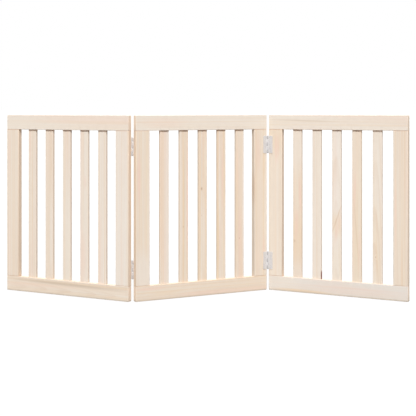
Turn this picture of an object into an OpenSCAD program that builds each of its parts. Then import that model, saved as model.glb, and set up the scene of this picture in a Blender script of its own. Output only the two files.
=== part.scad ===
// Free-standing folding pet gate: three slatted softwood panels joined by four small butt hinges.
// Frame: +Z up, the floor at z = 0, origin under the middle of the centre panel, gate standing in a Z.
// The right hinges are on the front faces of the panels and the left ones on the back faces, so that
// half a turn about Z takes the gate onto itself. The left half is the right half, turned like that.

/* [Panel] */
// Width of one panel
panel_w = 500; // [400:1:700]
// Height of one panel
panel_h = 605; // [450:1:900]
// Thickness of the frame boards
frame_t = 18; // [16:0.5:26]
// Width of the upright frame boards
stile_w = 50; // [40:1:70]
// Height of the top and bottom frame boards
rail_h = 50; // [40:1:80]
// Rounding along the edges of the frame boards
frame_edge_r = 1.6; // [0.8:0.1:2.5]

/* [Slats] */
// Number of slats in one panel
slat_count = 5; // [3:1:6]
// Width of one slat
slat_w = 32; // [20:1:40]
// Thickness of one slat
slat_t = 9; // [6:0.5:12]
// Rounding along the edges of a slat
slat_edge_r = 1.2; // [0.5:0.1:2]
// Depth of the mortise that takes each end of a slat
mortise_depth = 10; // [6:1:16]
// Space round a slat in its mortise
mortise_clear = 0.2; // [0.1:0.05:0.4]
// Space over the top end of a slat in its mortise
mortise_end_gap = 0.5; // [0.2:0.1:1]

/* [Dowels] */
// Radius of the dowels that join the frame boards
dowel_r = 4; // [3:0.25:5]
// Length of one dowel
dowel_len = 40; // [24:1:50]
// Distance between the two dowels of a joint
dowel_pitch = 24; // [16:1:26]
// Radial space round a dowel
dowel_clear = 0.05; // [0.02:0.01:0.1]
// Space past each end of a dowel
dowel_end_gap = 1; // [0.5:0.5:2]

/* [Hinges] */
// Height of one hinge
hinge_h = 60; // [50:1:80]
// Distance from the hinge axis to the free edge of a leaf
leaf_w = 17; // [16:0.5:24]
// Thickness of the leaf sheet
leaf_t = 1.2; // [1:0.1:1.6]
// Distance from the seam of a rail to the nearest end of a hinge
hinge_inset = 22; // [18:1:80]
// Radius of the hinge pin
pin_r = 1.35; // [1.2:0.05:2]
// Radial running space between pin and knuckle
pin_clear = 0.05; // [0.03:0.01:0.08]
// Radius of the peened head at each end of the pin
pin_head_r = 2; // [1.8:0.1:2.4]
// Thickness of the peened head
pin_head_t = 0.5; // [0.3:0.1:1]
// Space between one knuckle and the next
knuckle_gap = 0.3; // [0.2:0.05:0.5]
// Space between a leaf and the knuckles of the other leaf
knuckle_relief = 0.4; // [0.3:0.05:0.8]
// Gap between two panels when the gate is laid out flat
flat_gap = 5; // [4.5:0.5:8]

/* [Screws] */
// Number of screws in one leaf
screw_count = 3; // [2:1:3]
// Radius of the screw head
screw_head_r = 3; // [2.6:0.1:3.2]
// Radius of the screw shank
screw_r = 1.6; // [1.3:0.1:1.8]
// Length of one screw
screw_len = 14; // [10:1:15]
// Distance from the end of a leaf to its first screw
screw_end = 10; // [7:1:14]
// How far the middle screw stands out from the line of the others
screw_stagger = 1.5; // [0:0.5:3]
// Radial space between a screw and its holes
screw_clear = 0.08; // [0.04:0.02:0.2]

/* [Stance] */
// How far each panel is turned from the line of the gate
stance_deg = 29; // [10:1:45]

/* [Hidden] */
$fn = 48;

LEVELS = ["lower", "upper"];
SIDES = ["left", "right"];
FRAME_PIECES = ["bottom_rail", "top_rail", "hinge_stile", "outer_stile", "dowels"];
CENTRE_PIECES = ["bottom_rail", "top_rail", "left_stile", "right_stile", "dowels"];
HINGE_PIECES = ["fixed_leaf", "swing_leaf", "pin", "fixed_screws", "swing_screws"];

FRAME_WOOD = [0.93, 0.85, 0.76];
SLAT_WOOD = [0.95, 0.88, 0.8];
DOWEL_WOOD = [0.8, 0.66, 0.5];
LEAF_ZINC = [0.8, 0.81, 0.82];
SCREW_ZINC = [0.66, 0.67, 0.7];

// A panel stands upright on the origin, with its front face towards -Y
stile_h = panel_h - 2 * rail_h;
stile_x = panel_w / 2 - stile_w / 2;
slat_gap = (panel_w - 2 * stile_w - slat_count * slat_w) / (slat_count + 1);
slat_len = stile_h + 2 * mortise_depth - mortise_end_gap;
dowel_hole = dowel_len / 2 + dowel_end_gap;

// A hinge has its axis on Z, and the wood that its leaf lies on is towards +Y
bore_r = pin_r + pin_clear;
barrel_r = bore_r + leaf_t;
knuckle_count = 5;
knuckle_h = (hinge_h - (knuckle_count - 1) * knuckle_gap) / knuckle_count;
relief_x = barrel_r + knuckle_relief;
leaf_corner_r = 1.5;
screw_x = (relief_x + leaf_w) / 2;
screw_pitch = (hinge_h - 2 * screw_end) / (screw_count - 1);
screw_tip_len = 3;
screw_tip_r = 0.3;
cross_w = 0.8;
cross_len = 3.2;
cross_depth = 0.8;
// How far a cutting solid goes past the face that it opens
cut = 1;

// From the middle of a panel to the hinge axis at its edge
axis_x = panel_w / 2 + flat_gap / 2;
axis_y = frame_t / 2 + barrel_r;

function slat_x(i) = -panel_w / 2 + stile_w + i * slat_gap + (i - 0.5) * slat_w;
function hinge_z(level) =
    level == "lower" ? rail_h + hinge_inset : panel_h - rail_h - hinge_inset - hinge_h;

// ---- Outlines and shared shapes ----

module rounded_square(w, h, r) {
    square([w - 2 * r, h], center = true);
    square([w, h - 2 * r], center = true);
    for (x = [-1, 1], y = [-1, 1])
        translate([x * (w / 2 - r), y * (h / 2 - r)]) circle(r);
}

// Board with every edge rounded, standing on the origin
module rounded_board(w, t, h, r) {
    translate([0, 0, h / 2]) intersection() {
        linear_extrude(h, center = true) rounded_square(w, t, r);
        rotate([90, 0, 0]) linear_extrude(t, center = true) rounded_square(w, h, r);
        rotate([90, 0, 90]) linear_extrude(w, center = true) rounded_square(t, h, r);
    }
}

// The places of one leaf's screws on the face of its leaf, the first one lowest
module at_screws() {
    for (i = [0:screw_count - 1]) {
        middle = i > 0 && i < screw_count - 1;
        x = screw_x + (middle ? screw_stagger : 0);
        translate([x, barrel_r - leaf_t, screw_end + i * screw_pitch]) children();
    }
}

// ---- Places ----

// Turns the right half of the gate into the left half
module on_side(side) rotate([0, 0, side == "left" ? 180 : 0]) children();

module at_centre() rotate([0, 0, stance_deg]) children();

// The lower end of a hinge on its axis, turned with the centre panel
module at_hinge(level)
    at_centre() translate([axis_x, -axis_y, hinge_z(level)]) children();

// The same place, turned with the side panel
module at_swing(level)
    at_hinge(level) rotate([0, 0, -2 * stance_deg]) children();

module at_side_panel()
    at_centre() translate([axis_x, -axis_y, 0]) rotate([0, 0, -2 * stance_deg])
        translate([axis_x, axis_y, 0]) children();

// ---- Panels ----

module rail() {
    color(FRAME_WOOD) difference() {
        rounded_board(panel_w, frame_t, rail_h, frame_edge_r);
        for (i = [1:slat_count])
            translate([slat_x(i), 0, rail_h - mortise_depth])
                linear_extrude(mortise_depth + cut)
                    rounded_square(
                        slat_w + 2 * mortise_clear,
                        slat_t + 2 * mortise_clear,
                        slat_edge_r + mortise_clear
                    );
        for (side = [-1, 1], d = [-1, 1])
            translate([side * stile_x + d * dowel_pitch / 2, 0, rail_h - dowel_hole])
                cylinder(h = dowel_hole + cut, r = dowel_r + dowel_clear);
    }
}

module top_rail() translate([0, 0, panel_h]) rotate([180, 0, 0]) rail();

// Upright board; pilots names the side, -1 or 1, that carries a hinge on the front face, or 0 for none
module stile(pilots) {
    color(FRAME_WOOD) difference() {
        translate([0, 0, rail_h]) linear_extrude(stile_h)
            rounded_square(stile_w, frame_t, frame_edge_r);
        for (z = [rail_h - cut, panel_h - rail_h - dowel_hole], d = [-1, 1])
            translate([d * dowel_pitch / 2, 0, z])
                cylinder(h = dowel_hole + cut, r = dowel_r + dowel_clear);
        if (pilots != 0) pilot_holes(pilots);
    }
}

module pilot_holes(side) {
    for (level = LEVELS)
        translate([side * (stile_w / 2 + flat_gap / 2), -axis_y, hinge_z(level)])
            scale([-side, 1, 1]) at_screws()
                rotate([-90, 0, 0]) cylinder(h = screw_len + cut, r = screw_r + screw_clear);
}

module slat() {
    color(SLAT_WOOD) translate([0, 0, rail_h - mortise_depth]) linear_extrude(slat_len)
        rounded_square(slat_w, slat_t, slat_edge_r);
}

module dowels() {
    color(DOWEL_WOOD)
        for (side = [-1, 1], d = [-1, 1], z = [rail_h, panel_h - rail_h])
            translate([side * stile_x + d * dowel_pitch / 2, 0, z])
                cylinder(h = dowel_len, r = dowel_r, center = true);
}

// ---- Hinges ----

// One leaf with the knuckles whose numbers are in own
module leaf(own) {
    color(LEAF_ZINC) difference() {
        union() {
            translate([relief_x, barrel_r, 0]) rotate([90, 0, 0]) linear_extrude(leaf_t)
                leaf_outline(leaf_w - relief_x);
            for (k = own) translate([0, 0, k * (knuckle_h + knuckle_gap)]) {
                cylinder(h = knuckle_h, r = barrel_r);
                translate([0, barrel_r - leaf_t, 0]) cube([relief_x + cut, leaf_t, knuckle_h]);
            }
        }
        translate([0, 0, -cut]) cylinder(h = hinge_h + 2 * cut, r = bore_r);
        at_screws() rotate([-90, 0, 0]) {
            translate([0, 0, -cut]) cylinder(h = leaf_t + 2 * cut, r = screw_r + screw_clear);
            cylinder(h = leaf_t, r1 = screw_head_r + screw_clear, r2 = screw_r + screw_clear);
        }
    }
}

// Sheet with the two corners of its free edge rounded
module leaf_outline(w) {
    square([w - leaf_corner_r, hinge_h]);
    translate([0, leaf_corner_r]) square([w, hinge_h - 2 * leaf_corner_r]);
    for (y = [leaf_corner_r, hinge_h - leaf_corner_r])
        translate([w - leaf_corner_r, y]) circle(leaf_corner_r);
}

module fixed_leaf() mirror([1, 0, 0]) leaf([0, 2, 4]);

module swing_leaf() leaf([1, 3]);

module pin() {
    color(SCREW_ZINC) {
        cylinder(h = hinge_h, r = pin_r);
        for (z = [-pin_head_t, hinge_h])
            translate([0, 0, z]) cylinder(h = pin_head_t, r = pin_head_r);
    }
}

module screws() {
    color(SCREW_ZINC) at_screws() rotate([-90, 0, 0]) difference() {
        union() {
            cylinder(h = leaf_t, r1 = screw_head_r, r2 = screw_r);
            cylinder(h = screw_len - screw_tip_len, r = screw_r);
            translate([0, 0, screw_len - screw_tip_len])
                cylinder(h = screw_tip_len, r1 = screw_r, r2 = screw_tip_r);
        }
        for (turn = [0, 90]) rotate([0, 0, turn])
            cube([cross_len, cross_w, 2 * cross_depth], center = true);
    }
}

module fixed_screws() mirror([1, 0, 0]) screws();

// ---- Nodes ----

at_centre() rail();  // centre_bottom_rail
at_centre() top_rail();  // centre_top_rail
on_side("left") at_centre() translate([stile_x, 0, 0]) stile(1);  // centre_left_stile
at_centre() translate([stile_x, 0, 0]) stile(1);  // centre_right_stile
at_centre() dowels();  // centre_dowels
for (i = [1:slat_count])
    at_centre() translate([slat_x(i), 0, 0]) slat();

for (side = SIDES) {
    on_side(side) at_side_panel() rail();
    on_side(side) at_side_panel() top_rail();
    on_side(side) at_side_panel() translate([-stile_x, 0, 0]) stile(-1);
    on_side(side) at_side_panel() translate([stile_x, 0, 0]) stile(0);
    on_side(side) at_side_panel() dowels();
    for (i = [1:slat_count])
        on_side(side) at_side_panel() translate([slat_x(i), 0, 0]) slat();
}

for (side = SIDES, level = LEVELS) {
    hinge = str(side, "_", level, "_");
    on_side(side) at_hinge(level) fixed_leaf();
    on_side(side) at_hinge(level) fixed_screws();
    on_side(side) at_hinge(level) pin();
    on_side(side) at_swing(level) swing_leaf();
    on_side(side) at_swing(level) screws();
}
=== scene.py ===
import math
import random
from collections import namedtuple

import bmesh
import bpy
from mathutils import Matrix, Vector


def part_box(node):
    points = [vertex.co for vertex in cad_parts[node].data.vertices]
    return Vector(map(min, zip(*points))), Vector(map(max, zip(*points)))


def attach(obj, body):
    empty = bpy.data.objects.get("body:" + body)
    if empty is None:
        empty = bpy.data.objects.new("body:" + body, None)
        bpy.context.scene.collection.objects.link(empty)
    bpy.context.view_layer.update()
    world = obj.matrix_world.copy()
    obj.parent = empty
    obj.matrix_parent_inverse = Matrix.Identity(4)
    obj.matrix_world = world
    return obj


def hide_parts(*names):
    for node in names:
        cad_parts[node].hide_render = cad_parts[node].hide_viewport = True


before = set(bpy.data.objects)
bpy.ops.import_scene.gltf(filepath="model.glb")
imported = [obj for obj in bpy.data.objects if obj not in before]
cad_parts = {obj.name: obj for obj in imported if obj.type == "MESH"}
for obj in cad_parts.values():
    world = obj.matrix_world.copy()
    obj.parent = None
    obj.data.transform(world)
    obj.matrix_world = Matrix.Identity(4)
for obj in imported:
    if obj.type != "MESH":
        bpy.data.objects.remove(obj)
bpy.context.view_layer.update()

# ---------------------------------------------------------------------------------------------
# Rails: the top and bottom boards of each panel, planed softwood with softened edges. Each one
# runs the whole width of its panel, and its mortises take the ends of the slats.
# ---------------------------------------------------------------------------------------------

BODY = {"left": "left_panel", "centre": "centre_panel", "right": "right_panel"}
STANCE = math.radians(29)
TURN = {"left": -STANCE, "centre": STANCE, "right": -STANCE}

PANEL_WIDTH = 0.500
FRAME_THICKNESS = 0.018
FRAME_EDGE = 0.0016
STILE_WIDTH = 0.050
SLAT_NUMBERS = range(1, 6)
SLAT_WIDTH = 0.032
SLAT_THICKNESS = 0.009
MORTISE_DEPTH = 0.010
MORTISE_CLEARANCE = 0.0002
ON_FACE = 1e-6  # nearer to a face than this counts as on it

opening = PANEL_WIDTH - 2 * STILE_WIDTH
slat_gap = (opening - len(SLAT_NUMBERS) * SLAT_WIDTH) / (len(SLAT_NUMBERS) + 1)
slat_places = [n * slat_gap + (n - 0.5) * SLAT_WIDTH - opening / 2 for n in SLAT_NUMBERS]


def middle(node):
    low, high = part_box(node)
    return (Vector(low) + Vector(high)) / 2


def tall(node):
    low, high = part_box(node)
    return high[2] - low[2]


def block(size):
    bm = bmesh.new()
    bmesh.ops.create_cube(bm, size=1)
    bmesh.ops.scale(bm, verts=bm.verts, vec=size)
    return bm


def outside_edges(bm, size):
    """The stretches of a block's own twelve edges, without those round a mortise."""
    def on_both_sides(edge, axis):
        return all(abs(abs(v.co[axis]) - size[axis] / 2) < ON_FACE for v in edge.verts)
    return [e for e in bm.edges if sum(on_both_sides(e, axis) for axis in range(3)) >= 2]


def soften(bm, edges, radius, segments=4):
    """Rounds edges over, and shades only the rounding as round: the planed faces stay flat."""
    done = bmesh.ops.bevel(bm, geom=edges, offset=radius, affect="EDGES", segments=segments,
                           profile=0.5, material=-1)
    for face in done["faces"]:
        face.smooth = True
    for edge in bm.edges:
        edge.smooth = all(face.smooth for face in edge.link_faces)


def cut_mortises(bm, size):
    """Sinks a mortise for every slat into a rail's upper face."""
    across = SLAT_WIDTH / 2 + MORTISE_CLEARANCE
    deep = SLAT_THICKNESS / 2 + MORTISE_CLEARANCE
    cuts = [((x + side * across, 0, 0), (1, 0, 0)) for x in slat_places for side in (-1, 1)]
    cuts += [((0, side * deep, 0), (0, 1, 0)) for side in (-1, 1)]
    for place, facing in cuts:
        whole = bm.verts[:] + bm.edges[:] + bm.faces[:]
        bmesh.ops.bisect_plane(bm, geom=whole, plane_co=place, plane_no=facing)

    def over_a_slat(face):
        at = face.calc_center_median()
        return (abs(at.z - size[2] / 2) < ON_FACE and abs(at.y) < deep
                and any(abs(at.x - x) < across for x in slat_places))
    sunk = bmesh.ops.extrude_discrete_faces(bm, faces=[f for f in bm.faces if over_a_slat(f)])
    floors = {v for face in sunk["faces"] for v in face.verts}
    bmesh.ops.translate(bm, verts=list(floors), vec=(0, 0, -MORTISE_DEPTH))


def into_piece(bm, node, panel, material, ending):
    """Makes the finished shape a piece that takes its CAD node's part."""
    mesh = bpy.data.meshes.new(node + ending)
    bm.to_mesh(mesh)
    bm.free()
    mesh.materials.append(material)
    piece = bpy.data.objects.new(node + ending, mesh)
    bpy.context.scene.collection.objects.link(piece)
    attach(piece, BODY[panel])
    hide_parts(node)


def into_board(bm, node, panel, material):
    """Turns the shape into its panel's plane, and puts it in its CAD node's place."""
    bmesh.ops.rotate(bm, verts=bm.verts, cent=(0, 0, 0), matrix=Matrix.Rotation(TURN[panel], 3, "Z"))
    bmesh.ops.translate(bm, verts=bm.verts, vec=middle(node))
    into_piece(bm, node, panel, material, "_board")


def paint(red, green, blue):
    """A colour given as on a paint card, 0 to 255, as linear light."""
    return tuple(((c / 255 + 0.055) / 1.055) ** 2.4 for c in (red, green, blue)) + (1.0,)


# the tones that boards are given, each of them nearly white
ASHY = paint(213, 207, 200)
PALE = paint(221, 212, 202)
CREAM = paint(220, 210, 198)
BUFF = paint(218, 204, 188)
STRAW = paint(219, 207, 190)
PEACH = paint(218, 202, 185)

# the tones of their grain, ends and marks, two of them partly painted shade
ROSY = paint(222, 194, 178)
AMBER = paint(218, 195, 166)
SMOKY = paint(196, 179, 160)
LATEWOOD = paint(203, 177, 153)
# the narrow sides' tone: the edge grain's own colour, with painted shade
EDGE_WOOD_AND_SHADE = paint(222, 199, 176)
END_GRAIN = paint(230, 210, 190)
KNOT = paint(150, 116, 90)
KNOT_RIM = paint(190, 160, 132)
BARK = paint(128, 70, 50)
# the dark glue line at a stile's seams, and also painted shade under the top rail at a slat's upper end
GLUE_AND_SHADE_LINE = paint(188, 140, 108)
GRAIN_DEPTH = 0.00012

# Marks in a board, placed from its middle: along the grain, and across it to the right or upwards.
# length and width reach from a streak's middle to its ends and sides, and lean is its slope.
Streak = namedtuple("Streak", "colour along across length width lean strength", defaults=(0, 0.6))
Knot = namedtuple("Knot", "along across size strength", defaults=(0.6,))


class Surface:
    """The shader nodes of one material, with short words for the ones that it uses most."""

    def __init__(self, name):
        self.material = bpy.data.materials.new(name)
        self.material.use_nodes = True
        self.tree = self.material.node_tree
        self.shader = self.tree.nodes["Principled BSDF"]

    def add(self, kind, **settings):
        node = self.tree.nodes.new(kind)
        for key, value in settings.items():
            setattr(node, key, value)
        return node

    def feed(self, socket, value):
        if isinstance(value, bpy.types.NodeSocket):
            self.tree.links.new(value, socket)
        else:
            socket.default_value = value

    def maths(self, operation, *values):
        node = self.add("ShaderNodeMath", operation=operation)
        for socket, value in zip(node.inputs, values):
            self.feed(socket, value)
        return node.outputs[0]

    def point(self, *values):
        node = self.add("ShaderNodeCombineXYZ")
        for socket, value in zip(node.inputs, values):
            self.feed(socket, value)
        return node.outputs[0]

    def length(self, *values):
        node = self.add("ShaderNodeVectorMath", operation="LENGTH")
        self.feed(node.inputs[0], self.point(*values))
        return node.outputs["Value"]

    def lined_up(self, direction, axis):
        """How nearly a direction lies along an axis, either way round: from 0, square to it, to 1."""
        node = self.add("ShaderNodeVectorMath", operation="DOT_PRODUCT")
        self.feed(node.inputs[0], direction)
        node.inputs[1].default_value = axis
        return self.maths("ABSOLUTE", node.outputs["Value"])

    def noise(self, place, stretch, shift, detail=2.0):
        """Noise from 0 to 1, with so many grains to the metre along each axis of the place."""
        moved = self.add("ShaderNodeMapping")
        self.feed(moved.inputs["Vector"], place)
        moved.inputs["Scale"].default_value = stretch
        moved.inputs["Location"].default_value = (shift, -shift, 2 * shift)
        node = self.add("ShaderNodeTexNoise")
        self.feed(node.inputs["Vector"], moved.outputs[0])
        node.inputs["Scale"].default_value = 1.0
        node.inputs["Detail"].default_value = detail
        return node.outputs[0]

    def sway(self, noise, reach):
        """Noise made into a shift of up to half the reach either way."""
        return self.maths("MULTIPLY", self.maths("SUBTRACT", noise, 0.5), reach)

    def ramp(self, value, low, high, out_low=0.0, out_high=1.0):
        node = self.add("ShaderNodeMapRange", interpolation_type="SMOOTHSTEP")
        for socket, number in zip(node.inputs, (value, low, high, out_low, out_high)):
            self.feed(socket, number)
        return node.outputs[0]

    def mix(self, share, first, second):
        node = self.add("ShaderNodeMix", data_type="RGBA")
        self.feed(node.inputs["Factor"], share)
        for socket, value in zip([s for s in node.inputs if s.type == "RGBA"], (first, second)):
            self.feed(socket, value)
        return next(s for s in node.outputs if s.type == "RGBA")

    def bump(self, height, depth):
        node = self.add("ShaderNodeBump")
        node.inputs["Distance"].default_value = depth
        self.feed(node.inputs["Height"], height)
        self.feed(self.shader.inputs["Normal"], node.outputs["Normal"])


def softwood(node, panel, upright, half_width, tone=CREAM, cut="rift", figure=0.3, bands=0.5,
             side_tint=1.0, joint=None, darkened_reach=0.002, darkened_both_ends=True, darker_at_foot=0.0,
             knots=(), streaks=(), bark=()):
    """Planed pale softwood for one board. The yearly rings are true ones, about a heart that lies outside
    the board, so faces, edges and ends agree. half_width is half the board's size across the grain,
    figure how strongly the rings show, bands how strongly wider stripes do, and side_tint how brown the
    narrow sides are: the edge grain's own colour, with painted shade. joint is the distance along the board
    from its middle to a joint, and darkened_reach how far the board is painted darker from there: a glue
    line at a stile's seams, and painted shade under the top rail at a slat's upper end. darkened_both_ends
    darkens at the lower joint too. darker_at_foot is how much darker a bottom rail is made along its lower
    edge."""
    draw = random.Random(node)
    shift = draw.uniform(5, 90)
    wood = Surface(node + "_wood")
    where = wood.add("ShaderNodeTexCoord")
    board = wood.add("ShaderNodeMapping", vector_type="TEXTURE")
    board.inputs["Location"].default_value = middle(node)
    board.inputs["Rotation"].default_value = (0, 0, TURN[panel])
    wood.feed(board.inputs["Vector"], where.outputs["Object"])
    apart = wood.add("ShaderNodeSeparateXYZ")
    wood.feed(apart.inputs[0], board.outputs[0])
    x, y, z = apart.outputs
    along, across, through = (z, x, y) if upright else (x, z, y)
    grain = wood.point(along, across, through)

    # the heart of the tree, and how far it leans from the board's own line
    side = draw.choice((-1, 1))
    if cut == "flat":
        heart = (draw.uniform(-0.4, 0.4) * half_width, side * draw.uniform(0.030, 0.050))
        lean = (draw.uniform(-0.02, 0.02), side * draw.uniform(0.015, 0.035))
    else:
        heart = (side * draw.uniform(0.05, 0.12), draw.uniform(-0.05, 0.05))
        lean = (draw.uniform(-0.012, 0.012), draw.uniform(-0.02, 0.02))
    spacing = draw.uniform(0.0026, 0.0038)
    bow = wood.sway(wood.noise(grain, (1.6, 9, 9), shift, 1.0), 0.016)
    ripple = wood.sway(wood.noise(grain, (9, 60, 60), shift), 0.0022)
    from_heart = wood.maths("SUBTRACT", across, wood.maths("MULTIPLY_ADD", along, lean[0], heart[0]))
    from_heart = wood.maths("ADD", from_heart, wood.maths("ADD", bow, ripple))
    behind_heart = wood.maths("SUBTRACT", through, wood.maths("MULTIPLY_ADD", along, lean[1], heart[1]))
    radius = wood.length(from_heart, behind_heart, 0.0)

    # the rings swell round a knot
    knot_places = []
    for knot in knots:
        off_along = wood.maths("MULTIPLY", wood.maths("SUBTRACT", along, knot.along), 0.6)
        off_across = wood.maths("SUBTRACT", across, knot.across)
        distance = wood.length(off_along, off_across, 0.0)
        distance = wood.maths("ADD", distance, wood.maths("MULTIPLY", ripple, 0.6))
        swelling = wood.ramp(distance, knot.size * 5, 0.0, 0.0, knot.size * 1.6)
        radius = wood.maths("ADD", radius, swelling)
        knot_places.append(distance)

    # one year: pale and wide in spring, darker and narrow in autumn
    uneven = wood.noise(wood.point(radius, 0.0, 0.0), (170, 0, 0), shift, 1.0)
    years = wood.maths("MULTIPLY_ADD", uneven, 1.3, wood.maths("DIVIDE", radius, spacing))
    year = wood.maths("FRACT", years)
    autumn = wood.maths("MULTIPLY", wood.ramp(year, 0.3, 0.9), wood.ramp(year, 1.0, 0.93))
    clear = wood.ramp(wood.noise(grain, (2, 30, 30), shift + 7, 1.0), 0.25, 0.75, 0.25, 1.0)
    autumn = wood.maths("MULTIPLY", autumn, clear)
    fibre = wood.noise(grain, (22, 1500, 1500), shift, 3.0)
    stripe = wood.noise(grain, (0.6, 150, 150), shift + 3, 1.0)
    line = wood.noise(grain, (1.5, 420, 420), shift + 11, 1.0)
    cloud = wood.noise(grain, (1.4, 26, 26), shift + 5, 1.0)

    colour = wood.mix(wood.ramp(cloud, 0.5, 0.72, 0.0, 0.45), tone, ROSY)
    colour = wood.mix(wood.ramp(cloud, 0.5, 0.3, 0.0, 0.35), colour, STRAW)
    colour = wood.mix(wood.ramp(stripe, 0.48, 0.72, 0.0, bands), colour, AMBER)
    colour = wood.mix(wood.ramp(stripe, 0.5, 0.28, 0.0, bands), colour, PALE)
    colour = wood.mix(wood.ramp(line, 0.5, 0.75, 0.0, 0.6 * bands), colour, LATEWOOD)
    for streak in streaks:
        off_along = wood.maths("SUBTRACT", along, streak.along)
        middle_line = wood.maths("MULTIPLY_ADD", off_along, streak.lean, streak.across)
        off_across = wood.maths("SUBTRACT", across, middle_line)
        off_across = wood.maths("ADD", off_across, wood.maths("MULTIPLY", bow, 0.3))
        distance = wood.length(wood.maths("DIVIDE", off_along, streak.length),
                               wood.maths("DIVIDE", off_across, streak.width), 0.0)
        share = wood.maths("MULTIPLY", wood.ramp(distance, 1.15, 0.25, 0.0, streak.strength),
                           wood.ramp(stripe, 0.25, 0.6, 0.6, 1.0))
        colour = wood.mix(share, colour, streak.colour)
    colour = wood.mix(wood.maths("MULTIPLY", autumn, figure), colour, LATEWOOD)
    colour = wood.mix(wood.ramp(fibre, 0.45, 0.8, 0.0, 0.25), colour, LATEWOOD)

    # narrow sides show the rings edge on, browner with painted shade, and sawn ends are sanded pale
    facing = where.outputs["Normal"]
    plane = (math.cos(TURN[panel]), math.sin(TURN[panel]), 0)
    on_side = wood.ramp(wood.lined_up(facing, plane if upright else (0, 0, 1)), 0.35, 0.9)
    on_end = wood.ramp(wood.lined_up(facing, (0, 0, 1) if upright else plane), 0.6, 0.95)
    uneven_tint = wood.ramp(cloud, 0.3, 0.7, 0.7 * side_tint, side_tint)
    colour = wood.mix(wood.maths("MULTIPLY", on_side, uneven_tint), colour, EDGE_WOOD_AND_SHADE)
    colour = wood.mix(wood.maths("MULTIPLY", on_end, 0.9), colour, END_GRAIN)
    # darker near a joint: a glue line at a stile's seams, and painted shade under the top rail on a slat
    if joint:
        from_middle = wood.maths("ABSOLUTE", along) if darkened_both_ends else along
        darkened = wood.ramp(from_middle, joint - darkened_reach, joint - 0.2 * darkened_reach, 0.0, 0.52)
        colour = wood.mix(darkened, colour, GLUE_AND_SHADE_LINE)
    # darker along a bottom rail's lower edge, next to the floor
    if darker_at_foot:
        near_floor = wood.ramp(across, 0.006 - half_width, 0.003 - half_width, 0.0, darker_at_foot)
        colour = wood.mix(near_floor, colour, SMOKY)

    for knot, distance in zip(knots, knot_places):
        rim = wood.ramp(distance, knot.size * 1.4, knot.size * 0.8, 0.0, knot.strength)
        core = wood.ramp(distance, knot.size * 0.8, knot.size * 0.4, 0.0, knot.strength)
        colour = wood.mix(core, wood.mix(rim, colour, KNOT_RIM), KNOT)
    for streak in bark:
        off_along = wood.maths("DIVIDE", wood.maths("SUBTRACT", along, streak.along), streak.length)
        off_across = wood.maths("DIVIDE", wood.maths("SUBTRACT", across, streak.across), streak.width)
        rough = wood.maths("ADD", wood.length(off_along, off_across, 0.0), wood.sway(fibre, 0.9))
        colour = wood.mix(wood.ramp(rough, 1.0, 0.6, 0.0, streak.strength), colour, streak.colour)

    wood.feed(wood.shader.inputs["Base Color"], colour)
    hard = wood.maths("MULTIPLY_ADD", autumn, -0.08, 0.55)
    wood.feed(wood.shader.inputs["Roughness"], wood.maths("MULTIPLY_ADD", fibre, 0.2, hard))
    wood.shader.inputs["Specular IOR Level"].default_value = 0.35
    wood.bump(wood.maths("MULTIPLY_ADD", autumn, 0.6, fibre), GRAIN_DEPTH)
    return wood.material


RAIL_WOOD = {
    "left_top_rail": dict(tone=CREAM, figure=0.2, bands=0.25),
    "centre_top_rail": dict(tone=CREAM, figure=0.2, bands=0.25, streaks=[
        Streak(ROSY, -0.15, 0.002, 0.11, 0.022, 0, 0.35)]),
    "right_top_rail": dict(tone=CREAM, figure=0.2, bands=0.35, streaks=[
        Streak(SMOKY, -0.12, 0.006, 0.16, 0.003, -0.02, 0.6)]),
    "left_bottom_rail": dict(tone=BUFF, cut="flat", darker_at_foot=0.7, streaks=[
        Streak(SMOKY, 0.01, 0.0125, 0.28, 0.0070, -0.012, 1.0)]),
    "centre_bottom_rail": dict(tone=BUFF, darker_at_foot=0.7, streaks=[
        Streak(ROSY, -0.20, 0.014, 0.07, 0.008, 0, 0.6),
        Streak(AMBER, -0.14, -0.004, 0.07, 0.006, 0.02, 0.5),
        Streak(ROSY, 0.00, -0.014, 0.12, 0.010, 0, 0.4)]),
    "right_bottom_rail": dict(tone=ASHY, figure=0.15, bands=0.15, darker_at_foot=0.7, streaks=[
        Streak(ROSY, 0.05, -0.004, 0.25, 0.018, 0, 0.35), Streak(CREAM, -0.20, 0.006, 0.10, 0.03, 0, 0.6),
        Streak(AMBER, -0.12, -0.020, 0.14, 0.007, -0.01, 0.9)]),
}

for panel in BODY:
    for place in ("bottom", "top"):
        node = panel + "_" + place + "_rail"
        size = (PANEL_WIDTH, FRAME_THICKNESS, tall(node))
        rail = block(size)
        cut_mortises(rail, size)
        soften(rail, outside_edges(rail, size), FRAME_EDGE)
        if place == "top":
            upside_down = Matrix.Rotation(math.pi, 3, "X")
            bmesh.ops.rotate(rail, verts=rail.verts, cent=(0, 0, 0), matrix=upside_down)
        planed = softwood(node, panel, False, size[2] / 2, side_tint=0.5, **RAIL_WOOD[node])
        into_board(rail, node, panel, planed)

# ---------------------------------------------------------------------------------------------
# Stiles: the two upright boards of each panel, of the same stock as the rails. They stand between
# the rails, flush with them, and their sawn ends, just eased, are dowelled and glued to the rails.
# ---------------------------------------------------------------------------------------------

STILE_END_EASE = 0.0010

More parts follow.
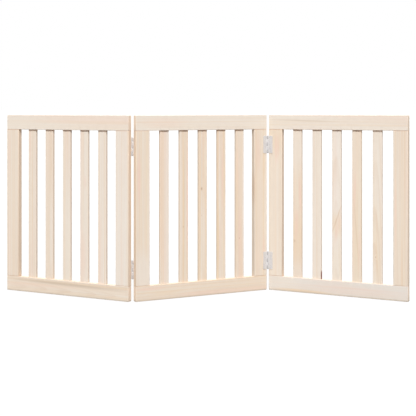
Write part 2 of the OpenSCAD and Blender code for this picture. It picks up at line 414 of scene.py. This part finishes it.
STILE_WOOD = {
    "left_outer_stile": dict(tone=BUFF, streaks=[Streak(ROSY, 0.17, -0.016, 0.09, 0.007, 0, 0.4)]),
    "left_hinge_stile": dict(tone=PALE, bands=0.3),
    "centre_left_stile": dict(tone=BUFF, streaks=[
        Streak(PALE, -0.21, 0.0, 0.09, 0.05, 0, 0.7), Streak(ROSY, 0.10, -0.015, 0.10, 0.009, 0, 0.8),
        Streak(STRAW, 0.0, 0.017, 0.22, 0.005, 0, 0.6)]),
    "centre_right_stile": dict(tone=BUFF, side_tint=0.2, streaks=[
        Streak(ROSY, 0.17, -0.010, 0.08, 0.012, 0, 0.5),
        Streak(LATEWOOD, 0.05, -0.0235, 0.07, 0.0028, 0, 0.8),
        Streak(AMBER, 0.13, 0.014, 0.08, 0.007, 0, 0.5), Streak(ROSY, -0.17, 0.014, 0.07, 0.008, 0, 0.6)]),
    "right_hinge_stile": dict(tone=CREAM, bands=0.3, streaks=[
        Streak(AMBER, 0.23, 0.0, 0.07, 0.04, 0, 0.4), Streak(ROSY, 0.19, 0.006, 0.06, 0.012, 0, 0.7)]),
    "right_outer_stile": dict(tone=BUFF, bands=0.7, side_tint=0.5, streaks=[
        Streak(ROSY, -0.02, -0.016, 0.16, 0.006, 0, 0.5), Streak(STRAW, 0.02, 0.006, 0.20, 0.008, 0, 0.5)]),
}


def upright_edges(bm):
    return [e for e in bm.edges if abs(e.verts[0].co.z - e.verts[1].co.z) > ON_FACE]


for node, wood_marks in STILE_WOOD.items():
    panel = node.split("_")[0]
    size = (STILE_WIDTH, FRAME_THICKNESS, tall(node))
    stile = block(size)
    soften(stile, upright_edges(stile), FRAME_EDGE)
    ends = [f for f in stile.faces if abs(f.normal.z) > 0.9]
    soften(stile, list({e for f in ends for e in f.edges}), STILE_END_EASE, 2)
    planed = softwood(node, panel, True, STILE_WIDTH / 2, joint=size[2] / 2, **wood_marks)
    into_board(stile, node, panel, planed)

# ---------------------------------------------------------------------------------------------
# Slats: thin upright laths with their edges taken off, five in each panel. They are half as thick
# as the frame and stand in the middle of it, with both ends let into the rails.
# ---------------------------------------------------------------------------------------------

SLAT_EDGE = 0.0012
SLAT_PAINTED_SHADE = 0.006  # how far below the upper mortise a slat is painted darker: painted shade under the top rail

SLAT_WOOD = {
    "left_slat_5": dict(tone=BUFF, bands=0.7, streaks=[
        Streak(ROSY, 0.21, -0.008, 0.08, 0.008, 0, 0.5), Streak(AMBER, 0.0, -0.001, 0.26, 0.0035, 0, 0.4),
        Streak(PALE, 0.05, 0.008, 0.22, 0.005)]),
    "left_slat_4": dict(tone=BUFF, streaks=[Streak(PALE, -0.10, 0.009, 0.20, 0.008, 0, 0.7)]),
    "left_slat_3": dict(tone=CREAM, streaks=[Streak(STRAW, 0.0, -0.010, 0.28, 0.006, 0, 0.5)]),
    "left_slat_2": dict(tone=CREAM, streaks=[
        Streak(ROSY, 0.08, 0.004, 0.03, 0.008, 0, 0.4), Streak(ROSY, -0.17, -0.002, 0.10, 0.014, 0, 0.4)]),
    "left_slat_1": dict(tone=PALE, streaks=[Streak(STRAW, 0.0, 0.0, 0.28, 0.006, 0, 0.5)]),
    "centre_slat_1": dict(tone=CREAM, streaks=[
        Streak(AMBER, 0.0, -0.0125, 0.28, 0.005, 0, 0.35), Streak(PALE, 0.0, 0.010, 0.28, 0.007, 0, 0.8),
        Streak(BUFF, 0.0, 0.0, 0.28, 0.003, 0, 0.8)]),
    "centre_slat_2": dict(tone=PEACH, figure=0.4, bands=0.7, streaks=[
        Streak(PALE, 0.0, -0.008, 0.28, 0.003, 0, 0.6), Streak(AMBER, 0.0, -0.002, 0.28, 0.004, 0, 0.9),
        Streak(SMOKY, 0.0, 0.001, 0.28, 0.0015, 0, 0.5), Streak(PALE, -0.02, 0.007, 0.24, 0.003, 0, 0.6),
        Streak(ROSY, 0.02, 0.0125, 0.24, 0.004, 0, 0.9)],
        knots=[Knot(-0.068, -0.002, 0.0022, 0.25)]),
    "centre_slat_3": dict(tone=PEACH, bands=0.7, streaks=[
        Streak(AMBER, 0.0, -0.011, 0.28, 0.006, 0, 0.4), Streak(SMOKY, 0.12, -0.0055, 0.13, 0.0018, 0, 0.5),
        Streak(PALE, -0.10, 0.004, 0.18, 0.007), Streak(STRAW, 0.16, 0.010, 0.12, 0.006, 0, 0.8)],
        knots=[Knot(0.056, -0.0048, 0.0036, 0.45), Knot(-0.034, -0.0045, 0.0020, 0.15)]),
    "centre_slat_4": dict(tone=PEACH, bands=0.7, streaks=[
        Streak(PALE, 0.0, -0.009, 0.28, 0.005, 0, 0.4), Streak(ROSY, 0.10, 0.004, 0.15, 0.004, 0, 0.9),
        Streak(AMBER, 0.08, 0.013, 0.12, 0.003, 0, 0.8), Streak(AMBER, -0.10, -0.012, 0.14, 0.005, 0, 0.7),
        Streak(ROSY, -0.13, -0.006, 0.10, 0.005, 0, 0.6)]),
    "centre_slat_5": dict(tone=PEACH, bands=0.5, streaks=[
        Streak(AMBER, 0.0, -0.011, 0.28, 0.006, 0, 0.6), Streak(PALE, 0.0, 0.012, 0.28, 0.005, 0, 0.7),
        Streak(ROSY, 0.12, -0.009, 0.12, 0.005, 0, 0.5), Streak(ROSY, -0.10, -0.003, 0.10, 0.008, 0, 0.5)],
        knots=[Knot(-0.118, -0.002, 0.0016, 0.4)]),
    "right_slat_1": dict(tone=PEACH, figure=0.4, bands=0.3, streaks=[
        Streak(CREAM, 0.20, 0.0, 0.12, 0.04, 0, 0.9), Streak(AMBER, -0.12, 0.0, 0.11, 0.03, 0, 0.5),
        Streak(ROSY, 0.03, 0.010, 0.07, 0.006, -0.04, 0.8),
        Streak(ROSY, -0.07, -0.002, 0.06, 0.009, 0.03, 0.7), Streak(CREAM, -0.24, 0.0, 0.05, 0.04, 0, 0.6)],
        knots=[Knot(-0.128, -0.010, 0.0030, 0.2)]),
    "right_slat_2": dict(tone=CREAM, bands=0.4, bark=[
        Streak(BARK, -0.240, 0.0172, 0.021, 0.0030, 0, 0.95)]),
    "right_slat_3": dict(tone=PALE, cut="flat", figure=0.35, bands=0.2, streaks=[
        Streak(AMBER, -0.065, 0.001, 0.05, 0.024, 0, 0.55),
        Streak(LATEWOOD, -0.045, 0.001, 0.055, 0.0035, 0.36, 0.75),
        Streak(ROSY, -0.075, 0.004, 0.06, 0.009, 0.2, 0.5), Streak(STRAW, -0.20, 0.0, 0.09, 0.03, 0, 0.6)]),
    "right_slat_4": dict(tone=STRAW, figure=0.35, bands=0.3, streaks=[
        Streak(AMBER, -0.10, 0.0, 0.20, 0.03, 0, 0.4), Streak(ROSY, 0.05, -0.006, 0.08, 0.004, 0.03, 0.8),
        Streak(ROSY, -0.14, 0.009, 0.10, 0.005, 0.02, 0.7),
        Streak(LATEWOOD, -0.07, -0.003, 0.14, 0.0022, -0.08, 0.6),
        Streak(PALE, -0.05, 0.008, 0.12, 0.004, 0, 0.4)]),
    "right_slat_5": dict(tone=CREAM, cut="flat", figure=0.35, bands=0.3, streaks=[
        Streak(STRAW, 0.0, -0.009, 0.28, 0.006, 0, 0.7), Streak(AMBER, -0.13, 0.0, 0.17, 0.03, 0, 0.35),
        Streak(AMBER, -0.18, 0.002, 0.09, 0.006, -0.08, 0.5)],
        knots=[Knot(-0.165, -0.006, 0.0018, 0.3)]),
}

for node, wood_marks in SLAT_WOOD.items():
    panel = node.split("_")[0]
    size = (SLAT_WIDTH, SLAT_THICKNESS, tall(node))
    slat = block(size)
    soften(slat, upright_edges(slat), SLAT_EDGE)
    # only a slat's upper end is painted darker: painted shade under the top rail
    planed = softwood(node, panel, True, SLAT_WIDTH / 2, side_tint=0.4, joint=size[2] / 2 - MORTISE_DEPTH,
                      darkened_reach=SLAT_PAINTED_SHADE, darkened_both_ends=False, **wood_marks)
    into_board(slat, node, panel, planed)

# ---------------------------------------------------------------------------------------------
# Dowels: short turned beech pins, glued into the ends of the stiles and into the rails, two in each
# corner of a panel. They don't show once the panel is together.
# ---------------------------------------------------------------------------------------------

BEECH = paint(214, 178, 142)
BEECH_FLECK = paint(176, 132, 96)
BEECH_GRAIN_DEPTH = 0.00008

beech = Surface("beech")
beech_place = beech.add("ShaderNodeTexCoord").outputs["Object"]
fleck = beech.noise(beech_place, (900, 900, 120), 3.0)
tint = beech.noise(beech_place, (40, 40, 12), 8.0)
beech_colour = beech.mix(beech.ramp(tint, 0.3, 0.7, 0.0, 0.4), BEECH, LATEWOOD)
beech_colour = beech.mix(beech.ramp(fleck, 0.55, 0.8), beech_colour, BEECH_FLECK)
beech.feed(beech.shader.inputs["Base Color"], beech_colour)
beech.feed(beech.shader.inputs["Roughness"], beech.ramp(fleck, 0.3, 0.7, 0.55, 0.7))
beech.bump(fleck, BEECH_GRAIN_DEPTH)
for panel in BODY:
    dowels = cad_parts[panel + "_dowels"]
    dowels.data.materials.clear()
    dowels.data.materials.append(beech.material)

# ---------------------------------------------------------------------------------------------
# Hinge leaves: pressed steel strip, rolled round the pin at its knuckles and bright zinc plated,
# with three countersunk holes. The fixed leaf is on the centre panel, the swing leaf on a side panel.
# ---------------------------------------------------------------------------------------------

LEAF_EDGE = 0.00012
BARREL_RADIUS = 0.0026
# the fixed leaf's knuckles are painted darker: painted shade, which makes dark spots on the hinge barrel
LEAF_DULLNESS = {"fixed": 0.6, "swing": 0.1}
FLAT_UNDER = math.radians(1)  # faces that meet at less than this are one flat face
ROUND_UNDER = math.radians(35)  # and those that meet at less than this are one round face

ZINC = paint(231, 227, 224)
ZINC_COOL = paint(219, 216, 217)
# a duller zinc, for mottling and for the painted shade near a hinge's axis
ZINC_DULL_AND_SHADE = paint(176, 173, 172)
BRUSHED_DEPTH = 0.00002


def zinc(name, axis, radius, dullness):
    """Bright zinc plate, rougher and painted darker within a radius of the upright line through axis; on a
    fixed leaf's knuckles that darkness is painted shade.
    """
    metal = Surface(name)
    place = metal.add("ShaderNodeTexCoord").outputs["Object"]
    blotch = metal.noise(place, (260, 260, 260), 4.0, 3.0)
    brushed = metal.noise(place, (900, 900, 9000), 2.0, 2.0)
    apart = metal.add("ShaderNodeSeparateXYZ")
    metal.feed(apart.inputs[0], place)
    off = metal.length(metal.maths("SUBTRACT", apart.outputs[0], axis[0]),
                       metal.maths("SUBTRACT", apart.outputs[1], axis[1]), 0.0)
    # rougher and painted darker near the axis; on a fixed leaf's knuckles this is painted shade
    duller_near_axis = metal.maths("MULTIPLY", metal.ramp(off, radius * 1.3, radius), dullness)
    colour = metal.mix(metal.ramp(blotch, 0.35, 0.65), ZINC, ZINC_COOL)
    colour = metal.mix(metal.ramp(blotch, 0.6, 0.8, 0.0, 0.35), colour, ZINC_DULL_AND_SHADE)
    colour = metal.mix(duller_near_axis, colour, ZINC_DULL_AND_SHADE)
    metal.feed(metal.shader.inputs["Base Color"], colour)
    metal.shader.inputs["Metallic"].default_value = 0.45
    satin = metal.ramp(brushed, 0.3, 0.7, 0.38, 0.5)
    metal.feed(metal.shader.inputs["Roughness"], metal.maths("MULTIPLY_ADD", duller_near_axis, 0.15, satin))
    metal.bump(metal.maths("MULTIPLY_ADD", blotch, 0.5, brushed), BRUSHED_DEPTH)
    return metal.material


def eased_copy(node, ease):
    """A CAD node's own shape, with its triangles joined into whole faces and its sharp edges eased."""
    bm = bmesh.new()
    bm.from_mesh(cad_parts[node].data)
    bmesh.ops.remove_doubles(bm, verts=bm.verts, dist=ON_FACE)
    bmesh.ops.dissolve_limit(bm, angle_limit=FLAT_UNDER, use_dissolve_boundaries=False,
                             verts=bm.verts, edges=bm.edges)
    for face in bm.faces:
        face.smooth = any(FLAT_UNDER < e.calc_face_angle(0) < ROUND_UNDER for e in face.edges)
    sharp = [e for e in bm.edges if e.calc_face_angle(0) >= ROUND_UNDER]
    soften(bm, sharp, ease, 2)
    return bm


HINGES = [side + "_" + level for side in ("left", "right") for level in ("lower", "upper")]

for hinge in HINGES:
    side = hinge.split("_")[0]
    axis = middle(hinge + "_pin")
    for leaf, dullness in LEAF_DULLNESS.items():
        node = hinge + "_" + leaf + "_leaf"
        panel = "centre" if leaf == "fixed" else side
        plating = zinc(node + "_zinc", axis, BARREL_RADIUS, dullness)
        into_piece(eased_copy(node, LEAF_EDGE), node, panel, plating, "_plate")

# ---------------------------------------------------------------------------------------------
# Hinge pins: steel wire through the five knuckles of a hinge, zinc plated like the leaves. Each end
# is peened over into a low head, which keeps the pin in.
# ---------------------------------------------------------------------------------------------

PIN_EASE = 0.0001
PIN_REACH = 0.003  # all of a pin lies within this of its line
PIN_DULLNESS = 0.9

for hinge in HINGES:
    node = hinge + "_pin"
    plating = zinc(node + "_zinc", middle(node), PIN_REACH, PIN_DULLNESS)
    into_piece(eased_copy(node, PIN_EASE), node, "centre", plating, "_wire")

# ---------------------------------------------------------------------------------------------
# Screws: small countersunk wood screws of zinc-plated steel, with a cross recess for the driver.
# Three go through each leaf into the stile that it lies on.
# ---------------------------------------------------------------------------------------------

SCREW_EASE = 0.00004
SCREW_REACH = 0.004  # the middle of each shank lies within this of the three screws' middle
SCREW_DULLNESS = 0.5

for hinge in HINGES:
    side = hinge.split("_")[0]
    for leaf in ("fixed", "swing"):
        node = hinge + "_" + leaf + "_screws"
        panel = "centre" if leaf == "fixed" else side
        plating = zinc(node + "_zinc", middle(node), SCREW_REACH, SCREW_DULLNESS)
        into_piece(eased_copy(node, SCREW_EASE), node, panel, plating, "_cut")

# ---------------------------------------------------------------------------------------------
# The studio: a plain white floor without an edge, in a white room. It has a wide soft light overhead,
# a main light high up in front and a weaker one behind. The camera stands well back, with a long lens,
# a little above the top of the gate.
# ---------------------------------------------------------------------------------------------

FLOOR_SIZE = 400.0
FLOOR_GLOW = 0.88  # how white the camera sees the floor where no light falls
FLOOR_SHADE = 0.06  # what the lights add to that, and the gate's shadow takes away
FLOOR_BOUNCE = 0.3  # how much of its light the floor throws back at the gate
ROOM_LIGHT = 0.26
CAMERA_PLACE = (0.0195, -3.695, 0.633)


def dimmer(tree, seen, given):
    """One value for what the camera sees, and another for what the light on the gate comes from."""
    path = tree.nodes.new("ShaderNodeLightPath")
    value = tree.nodes.new("ShaderNodeMath")
    value.operation = "MULTIPLY_ADD"
    value.inputs[1].default_value = seen - given
    value.inputs[2].default_value = given
    tree.links.new(path.outputs["Is Camera Ray"], value.inputs[0])
    return value.outputs[0]


floor_bm = bmesh.new()
bmesh.ops.create_grid(floor_bm, x_segments=1, y_segments=1, size=FLOOR_SIZE / 2)
floor_mesh = bpy.data.meshes.new("floor")
floor_bm.to_mesh(floor_mesh)
floor_bm.free()
floor = bpy.data.objects.new("floor", floor_mesh)
bpy.context.scene.collection.objects.link(floor)
floor_paint = bpy.data.materials.new("floor_paint")
floor_paint.use_nodes = True
floor_shader = floor_paint.node_tree.nodes["Principled BSDF"]
floor_shader.inputs["Roughness"].default_value = 0.9
floor_shader.inputs["Emission Color"].default_value = (1, 1, 1, 1)
floor_tree = floor_paint.node_tree
floor_tree.links.new(dimmer(floor_tree, FLOOR_GLOW, 0.0), floor_shader.inputs["Emission Strength"])
floor_tree.links.new(dimmer(floor_tree, FLOOR_SHADE, FLOOR_BOUNCE), floor_shader.inputs["Base Color"])
floor_mesh.materials.append(floor_paint)

world = bpy.data.worlds.new("studio")
bpy.context.scene.world = world
world.use_nodes = True
room = world.node_tree.nodes["Background"]
room.inputs["Color"].default_value = (1, 1, 1, 1)
world.node_tree.links.new(dimmer(world.node_tree, 1.0, ROOM_LIGHT), room.inputs["Strength"])


def soft_light(name, strength, spread, height, heading):
    """A light so far off that it is the same everywhere. Heading 0 is from the front, 90 from the left."""
    light = bpy.data.lights.new(name, "SUN")
    light.energy = strength
    light.angle = math.radians(spread)
    lamp = bpy.data.objects.new(name, light)
    lamp.rotation_euler = (math.radians(90 - height), 0, -math.radians(heading))
    bpy.context.scene.collection.objects.link(lamp)


soft_light("overhead", 0.9, spread=120, height=90, heading=0)
soft_light("key", 3.8, spread=18, height=48, heading=1)
soft_light("back", 1.6, spread=40, height=50, heading=190)

camera = bpy.data.objects.new("camera", bpy.data.cameras.new("camera"))
bpy.context.scene.collection.objects.link(camera)
camera.location = CAMERA_PLACE
camera.rotation_euler = (math.pi / 2, 0, 0)
camera.data.sensor_width = 36
camera.data.lens = 95.2
camera.data.shift_y = -0.2433
bpy.context.scene.camera = camera
bpy.context.scene.view_settings.view_transform = "Standard"
